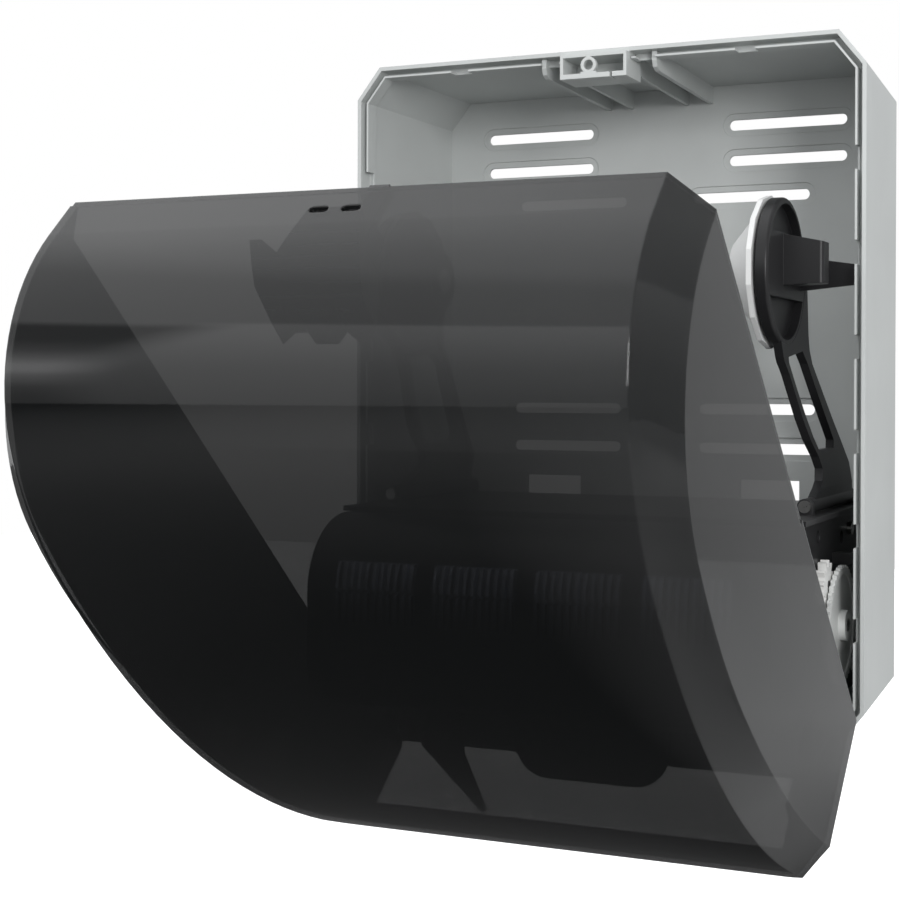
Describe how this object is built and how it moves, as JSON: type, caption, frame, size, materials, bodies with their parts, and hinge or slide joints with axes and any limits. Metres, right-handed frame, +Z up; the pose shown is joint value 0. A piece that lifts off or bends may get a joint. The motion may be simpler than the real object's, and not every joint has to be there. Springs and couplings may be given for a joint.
{
  "type": "towel dispenser",
  "caption": "A wall-hung mechanical roll towel dispenser with a light grey housing, a smoked cover on a bottom hinge standing open, two roll arms and a black feed module.",
  "frame": {"origin": "On the wall face of the housing, midway across it and midway up it.", "axes": "+X is to the right as seen from the room, +Y points into the wall, so -Y is the front, and +Z is up."},
  "size_m": [0.33, 0.4558, 0.4723],
  "materials": {
    "housing_plastic": "light grey moulded plastic, satin",
    "smoke_plastic": "translucent smoke-grey moulded plastic, polished outside",
    "black_plastic": "black moulded plastic, satin",
    "white_plastic": "white moulded plastic, satin",
    "grey_wheel_plastic": "pale grey moulded plastic",
    "drum_plastic": "dark grey moulded plastic",
    "band_rubber": "soft black rubber",
    "steel": "plain turned steel",
    "blade_steel": "ground spring steel",
    "spring_steel": "drawn spring wire"
  },
  "bodies": {
    "housing": {"back_housing": "housing_plastic", "latch_catch": "housing_plastic", "hinge_pin_left": "steel", "hinge_pin_right": "steel", "side_plate_left": "black_plastic", "side_plate_right": "black_plastic", "front_guide": "black_plastic", "top_shelf": "black_plastic", "rear_plate": "black_plastic", "module_screws": "steel", "tie_rods": "steel", "tie_screws": "steel", "wheel_guard": "black_plastic", "shaft_bushes": "white_plastic", "damper": "black_plastic", "spring_post": "steel", "drum_spring": "spring_steel", "stop_pin": "steel", "paper_chute": "black_plastic", "exit_tab": "black_plastic", "lever_bracket": "black_plastic", "arm_pin_right": "steel", "arm_pin_left": "steel"},
    "cover": {"cover_shell": "smoke_plastic", "lock_body": "black_plastic", "latch_plate": "black_plastic", "latch_spring": "spring_steel"},
    "latch": {"latch_slider": "black_plastic"},
    "drum": {"feed_drum": "drum_plastic", "grip_bands": "band_rubber", "drum_shaft": "steel", "drum_gear": "white_plastic", "hand_wheel": "grey_wheel_plastic", "crank_disc": "white_plastic"},
    "knife": {"knife_carrier": "drum_plastic", "knife_blade": "blade_steel"},
    "roller": {"pinch_roller": "drum_plastic", "roller_sleeves": "band_rubber", "roller_clips": "spring_steel"},
    "pinion": {"damper_pinion": "white_plastic"},
    "stop": {"stop_lever": "white_plastic"},
    "lever": {"feed_lever": "black_plastic"},
    "arm_right": {"roll_arm_right": "black_plastic", "hub_axle_right": "steel"},
    "arm_left": {"roll_arm_left": "black_plastic", "hub_axle_left": "steel"},
    "plug_right": {"core_plug_right": "white_plastic"},
    "plug_left": {"core_plug_left": "white_plastic"}
  },
  "joints": [
    {"name": "cover_hinge", "type": "hinge", "parent": "housing", "child": "cover", "pos_m": [0, -0.1249, -0.1885], "axis": [1, 0, 0], "range_deg": [-45.7, 0]},
    {"name": "latch_slide", "type": "slide", "parent": "cover", "child": "latch", "axis": [0, 0.7157, -0.6984], "range_m": [0, 0.004], "stiffness_N_per_m": 200, "springref_m": -0.004, "deforming": ["latch_spring"]},
    {"name": "drum_spin", "type": "hinge", "parent": "housing", "child": "drum", "pos_m": [0, -0.097, -0.128], "axis": [1, 0, 0], "continuous": true, "deforming": ["drum_spring"]},
    {"name": "knife_swing", "type": "hinge", "parent": "drum", "child": "knife", "pos_m": [0, -0.097, -0.108], "axis": [1, 0, 0], "range_deg": [0, 48]},
    {"name": "roller_spin", "type": "hinge", "parent": "housing", "child": "roller", "pos_m": [0, -0.1503, -0.128], "axis": [1, 0, 0], "continuous": true},
    {"name": "pinion_spin", "type": "hinge", "parent": "housing", "child": "pinion", "pos_m": [0.139, -0.11898, -0.1018], "axis": [1, 0, 0], "continuous": true},
    {"name": "stop_swing", "type": "hinge", "parent": "housing", "child": "stop", "pos_m": [-0.141, -0.10728, -0.08281], "axis": [1, 0, 0], "range_deg": [-5.9, 0]},
    {"name": "lever_swing", "type": "hinge", "parent": "housing", "child": "lever", "pos_m": [-0.088, -0.1365, -0.168], "axis": [1, 0, 0], "range_deg": [-18, 0]},
    {"name": "arm_right_swing", "type": "hinge", "parent": "housing", "child": "arm_right", "pos_m": [0.133, -0.0735, -0.057], "axis": [0, 1, 0], "range_deg": [0, 2.2], "stiffness_Nm_per_rad": 6, "springref_deg": -2.86},
    {"name": "arm_left_swing", "type": "hinge", "parent": "housing", "child": "arm_left", "pos_m": [-0.133, -0.0735, -0.057], "axis": [0, -1, 0], "range_deg": [0, 2.2], "stiffness_Nm_per_rad": 6, "springref_deg": -2.86},
    {"name": "plug_right_spin", "type": "hinge", "parent": "arm_right", "child": "plug_right", "pos_m": [0.105, -0.138, 0.076], "axis": [1, 0, 0], "continuous": true},
    {"name": "plug_left_spin", "type": "hinge", "parent": "arm_left", "child": "plug_left", "pos_m": [-0.105, -0.138, 0.076], "axis": [1, 0, 0], "continuous": true}
  ],
  "couplings": [
    {"joint": "roller_spin", "follows": "drum_spin", "ratio": -3.4167},
    {"joint": "pinion_spin", "follows": "drum_spin", "ratio": -1.8333}
  ]
}
